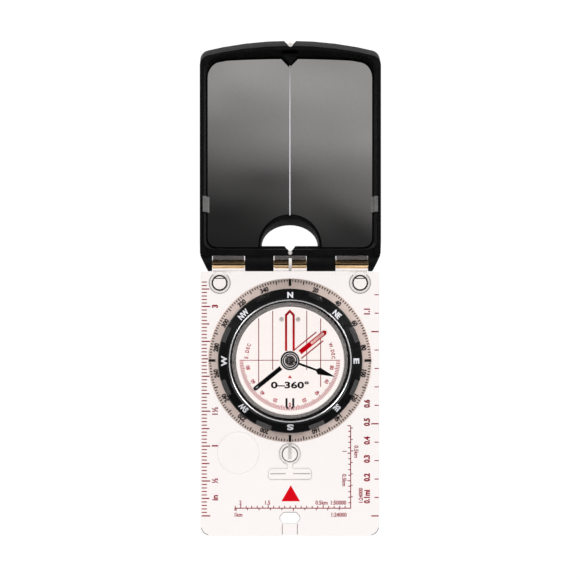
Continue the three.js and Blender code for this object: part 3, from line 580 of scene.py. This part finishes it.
def inch_ruler():
    rule = Print(HINGE, PLATE_TOP)
    edge = -32.1
    for i in range(RULE_TICKS):
        length, width = (3.1, 0.46) if i % 10 == 0 else (2.8, 0.44) if i % 5 == 0 else (1.9, 0.38)
        y = SCALE_START + i * INCH / 20
        rule.bar((edge, y), (edge + length, y), width)
    for words, inches, weight in (("½", 0.5, 0.035), ("1", 1, 0.06), ("1½", 1.5, 0.035), ("3", 3, 0.055)):
        y = SCALE_START + inches * INCH + 0.1
        rule.write(words, RULE_NUMBER_X, y, RULE_HEIGHT, UPWARD, 0.9, weight)
    rule.write("in", RULE_NUMBER_X, SCALE_START + 6.6, RULE_HEIGHT * 1.05, UPWARD, 1.0, 0.038)
    rule.place("print_inch_ruler", "base", CRIMSON)


MILE_STEP = 6.706  # a tenth of a mile at 1:24000


def mile_scale():
    rule = Print(HINGE, PLATE_TOP)
    edge = 32.3
    for i in range(MILE_TICKS):
        length, width = (2.7, 0.46) if i % 5 == 0 else (1.5, 0.36)
        y = SCALE_START + i * MILE_STEP
        rule.bar((edge - length, y), (edge, y), width)
    x = 28.0
    for i in (2, 3, 4, 5, 6, 11):
        rule.write(f"{i / 10:.1f}", x, SCALE_START + i * MILE_STEP + 0.6, RULE_HEIGHT, UPWARD, 0.85, 0.055)
    rule.write("0.1mi", x, SCALE_START + 7.0, RULE_HEIGHT, UPWARD, 0.8, 0.05)
    rule.write("1:24000", x - 2.25, SCALE_START + 7.5, 1.4, UPWARD, 0.88, 0.03)
    rule.place("print_mile_scale", "base", CRIMSON)


SCALE_WIDTH = (-20.0, 22.1)
SCALE_LINE_Y = -88.9
SCALE_TOP_Y = -58.9
SMALL_TEXT = 1.42
FIFTH_TICK = 1.35  # how much longer every fifth tick is


def kilometre_scale():
    """An L of two scales: 1:50000 ticks inside it and 1:24000 ticks outside."""
    rule = Print(HINGE, PLATE_TOP)
    left, right = SCALE_WIDTH
    line = 0.34
    rule.bar((left, SCALE_LINE_Y), (right + line / 2, SCALE_LINE_Y), line)
    rule.bar((right, SCALE_LINE_Y), (right, SCALE_TOP_Y), line)
    rule.bar((left, SCALE_LINE_Y), (left, SCALE_LINE_Y - 0.9), line)
    for side, step, reach in ((1, 2.0, 0.85), (-1, INCH / 24 * 3.9369, 0.75)):
        for i in range(1, int((right - left) / step) + 1):
            x = right - i * step
            tick = side * reach * (FIFTH_TICK if i % 5 == 0 else 1)
            rule.bar((x, SCALE_LINE_Y), (x, SCALE_LINE_Y + tick), line)
        for i in range(1, int((SCALE_TOP_Y - SCALE_LINE_Y) / step) + 1):
            y = SCALE_LINE_Y + i * step
            tick = side * reach * (FIFTH_TICK if i % 5 == 0 else 1)
            rule.bar((right, y), (right - tick, y), line)
    above, below = SCALE_LINE_Y + 2.05, SCALE_LINE_Y - 2.35
    for words, x, y in (("2", -18.0, above), ("1.5", -8.1, above), ("0.5km", 11.5, above),
                        ("1:50000", 17.7, above), ("1km", -18.7, below), ("1:24000", 17.9, below)):
        rule.write(words, x, y, SMALL_TEXT, 0, 0.9, 0.03)
    beside = (("0.5km", right - 2.3, -78.7), ("1", right - 2.2, -68.2), ("0.5km", right + 2.1, -68.3))
    for words, x, y in beside:
        rule.write(words, x, y, SMALL_TEXT, DOWNWARD, 0.9, 0.03)
    rule.place("print_kilometre_scale", "base", CRIMSON)


def direction_arrow():
    arrow = Print(HINGE, PLATE_TOP)
    arrow.shape([(-3.1, -86.4), (3.7, -86.4), (0.3, -80.5)])
    arrow.place("print_direction_arrow", "base", BRIGHT_RED)


def moulding_lines():
    """Painted shade: faint dark lines where clear edges look dark, round the plate's lens, the feet, the
    lanyard slot and the front corners.
    """
    lens = Print(HINGE + Vector((-18.8, -68.7, 0)) * MM, PLATE_TOP)
    lens.arc(7.6, 0.26, 0, 360, 72)
    lens.place("lens_rim_shade", "base", FAINT)
    # painted shade: dark rings round the feet, where their clear edges look dark
    for node in ("foot_rear_left", "foot_rear_right"):
        step = Print(middle(node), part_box(node)[1].z)
        step.arc(2.6, 0.5, 0, 360, 48)
        step.bar((-2.0, 1.65), (2.0, 1.65), 0.35)
        step.place(node + "_step", "base", SHADE)
    stem = Print(DIAL + Vector((0, -34.2, 0)) * MM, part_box("foot_front")[1].z)
    stem.arc(2.75, 0.3, 0, 360, 48)
    stem.place("foot_front_stem_shade", "base", SHADE)
    # painted shade: dark lines along the lanyard slot's edges, the front corners and a step under the front
    # foot
    edges = Print(HINGE, PLATE_TOP)
    for side in (-1, 1):
        edges.bar((side * 2.75, -98.4), (side * 2.75, -94.6), 0.35)
        edges.bar((side * 3.65, -93.2), (side * 3.65, -91.9), 0.2)
        edges.bar((side * 3.65, -91.9), (side * 2.3, -90.4), 0.25)
    edges.bar((-2.3, -90.4), (2.3, -90.4), 0.3)
    edges.place("lanyard_edge_shade", "base", EDGE_SHADES["clear_acrylic"])
    for side, start in ((-1, 180), (1, 90)):
        corner = Print(HINGE + Vector((side * 28.9, -95.3, 0)) * MM, PLATE_TOP)
        corner.arc(3.42, 0.28, start + 12, start + 78, 16)
        corner.place("corner_shade_left" if side < 0 else "corner_shade_right", "base", EDGE_SHADES["silicone"])
    bar = Print(HINGE, PLATE_TOP - 2.4 * MM)
    bar.bar((-7.2, -76.5), (-1.5, -76.5), 0.3)
    bar.bar((1.1, -76.5), (7.5, -76.5), 0.3)
    bar.place("foot_front_step", "base", EDGE_SHADES["silicone"])


def mirror_line():
    line = Print(HINGE, MIRROR_TOP)
    line.bar((0, 17.6), (0, 72.2), 0.4)
    line.place("print_mirror_line", "lid", PALE_INK)


TICK_OUTER = 29.35
NUMBER_RADIUS = 27.2


def dial_prints():
    """Two-degree ticks, numbers every twenty degrees and a bar at each quarter, on the sloping ring."""
    low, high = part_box("dial_scale_ring")
    outer = (high.x - low.x) / 2 / MM
    inner, fall = 25.45, 0.4
    slope = fall / (outer - 0.2 - inner)
    ring = Print(DIAL, high.z, lambda r: -slope * (r - inner))
    for degrees in range(0, 360, 2):
        if degrees % 90 == 0:
            ring.radial(degrees, 27.05, outer - 0.25, 0.95)
        elif degrees % 20 == 0:
            ring.radial(degrees, 28.35, TICK_OUTER, 0.38)
        elif degrees % 10 == 0:
            ring.radial(degrees, 27.9, TICK_OUTER, 0.42)
        elif degrees % 90 not in (2, 88):
            ring.radial(degrees, 28.5, TICK_OUTER, 0.37)
        else:
            ring.radial(degrees, 28.7, TICK_OUTER, 0.34)
        if degrees % 20 == 0 and degrees % 180:
            ring.write_round(str(degrees), degrees, NUMBER_RADIUS, 1.6, narrow=0.9, weight=0.055)
    ring.place("print_dial_scale", "dial", BLACK_INK)


def bezel_letters():
    """The eight compass points round the grip ring, on its sloping top."""
    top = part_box("bezel_ring")[1].z
    crest, rim, fall, clearance = 22.7, 25.8, 1.2, 0.03
    ring = Print(DIAL, top, lambda r: clearance - fall * (r - crest) / (rim - crest))
    points = (("N", 1.05), ("NE", 0.86), ("E", 1.5), ("SE", 0.86),
              ("S", 1.85), ("SW", 0.8), ("W", 1.15), ("NW", 0.8))
    for i, (words, narrow) in enumerate(points):
        ring.write_round(words, 45 * i, 23.85, 1.95, narrow=narrow, weight=0.04)
    ring.place("print_compass_points", "dial", PALE_INK)


def capsule_prints():
    """Orienting arrow, meridians and declination scale on the capsule's floor."""
    red = Print(DIAL, CAPSULE_FLOOR)
    outer, line = 1.8, 0.84
    inner = outer - line
    for side in (-1, 1):
        leg = [(side * inner, 3.4), (side * outer, 3.4), (side * outer, 16.7),
               (0, 18.5), (0, 17.3), (side * inner, 16.2)]
        red.shape(leg if side > 0 else leg[::-1])
    red.shape([(-0.75, -6.5), (0.75, -6.5), (0, -5.4)])
    red.place("print_orienting_arrow", "capsule", ARROW_RED)
    lines = Print(DIAL, CAPSULE_FLOOR)
    for x, low, high in ((-11.35, -9.7, 15.2), (11.2, -9.7, 15.2), (-6.25, -3.5, 18.0), (6.15, -3.5, 18.0)):
        lines.bar((x, low), (x, high), 0.3)
    lines.bar((-16.7, 0), (-3.9, 0), 0.24)
    lines.bar((3.4, 0), (16.4, 0), 0.24)
    lines.place("print_meridians", "capsule", DARK_RED)
    scale = Print(DIAL, CAPSULE_FLOOR)
    for degrees in range(90, 271, 2):
        scale.radial(degrees, 16.9 if degrees % 10 else 16.5, 18.3, 0.29)
    for degrees in (20, 40, 60, 80):
        for side in (-1, 1):
            scale.write_round(str(degrees), 180 + side * degrees, 15.5, 1.3, narrow=0.85, weight=0.035)
    scale.write("0", 0, -16.2, 1.5, weight=0.03)
    for words, azimuth in (("E.DEC", -78), ("W.DEC", 78)):
        for i, letter in enumerate(words):
            scale.write_round(letter, azimuth + 4.2 * (i - 2), 15.9, 1.25, narrow=0.85, weight=0.035)
    scale.place("print_declination_scale", "capsule", SCALE_RED)
    black = Print(DIAL, CAPSULE_FLOOR)
    for side in (-1, 1):
        foot = ((0.85, -13.8), (1.6, -13.8), (1.6, -17.0), (0.75, -17.9), (0.3, -17.5), (0.85, -16.8))
        leg = [(side * x, y) for x, y in foot]
        black.shape(leg if side > 0 else leg[::-1])
    black.write("0–360°", 0, -9.0, 2.25, 0, 1.5, weight=0.035)
    black.place("print_capsule_mark", "capsule", BLACK_INK)


def needle_prints():
    """Thin lines along the card on both sides of the red half, a pale fleck near the south tip, and a
    painted highlight ring on the hub.
    """
    turn = Matrix.Rotation(math.radians(-NEEDLE_AZIMUTH), 2)
    card = Print(DIAL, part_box("needle_north")[0].z - 0.05 * MM)
    for side in (-2.0, 2.0):
        card.bar(turn @ Vector((side, 3.7)), turn @ Vector((side, 13.9)), 0.42)
    card.place("print_needle_lines", "needle", DARK_RED)
    fleck = Print(DIAL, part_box("needle_south")[1].z)
    fleck.bar(turn @ Vector((0, -14.9)), turn @ Vector((0, -15.9)), 0.22)
    fleck.place("print_needle_fleck", "needle", PALE_INK)
    # painted highlight: a pale ring standing in for light caught by the hub's machined top
    hub = Print(DIAL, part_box("needle_hub_ring")[1].z)
    hub.arc(2.78, 0.2, 0, 360, 48)
    hub.place("hub_painted_highlight", "needle", PALE_INK)


def shelf_teeth():
    """Fine radial ribs on the black ledge inside the grip ring, grey as a painted reflection of the fine
    light rings there.
    """
    count, inner, outer, top, ledge = 180, 20.98, 21.9, 0.25, 4.4
    ribs = bmesh.new()
    for i in range(count):
        out = Matrix.Translation(((inner + outer) / 2, 0, 0))
        matrix = Matrix.Rotation(2 * math.pi * i / count, 4, "Z") @ out
        box = bmesh.ops.create_cube(ribs, size=1)["verts"]
        bmesh.ops.scale(ribs, vec=(outer - inner, 0.34, top), verts=box)
        for vert in box:
            if vert.co.z > 0:
                vert.co.y *= 0.5
        bmesh.ops.transform(ribs, matrix=matrix, verts=box)
    bmesh.ops.scale(ribs, vec=(MM, MM, MM), verts=ribs.verts)
    bmesh.ops.translate(ribs, vec=(DIAL.x, DIAL.y, (ledge + top / 2 + 0.01) * MM), verts=ribs.verts)
    mesh = bpy.data.meshes.new("shelf_teeth")
    ribs.to_mesh(mesh)
    ribs.free()
    mesh.materials.append(FINISHES["rib_painted_sheen"])
    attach(add_object("shelf_teeth", mesh), "dial")


make_camera()
make_floor()
make_card()
make_light()
for node in sorted(frame["nodes"]):
    refined(node)
inch_ruler()
mile_scale()
kilometre_scale()
direction_arrow()
moulding_lines()
mirror_line()
dial_prints()
bezel_letters()
capsule_prints()
needle_prints()
shelf_teeth()
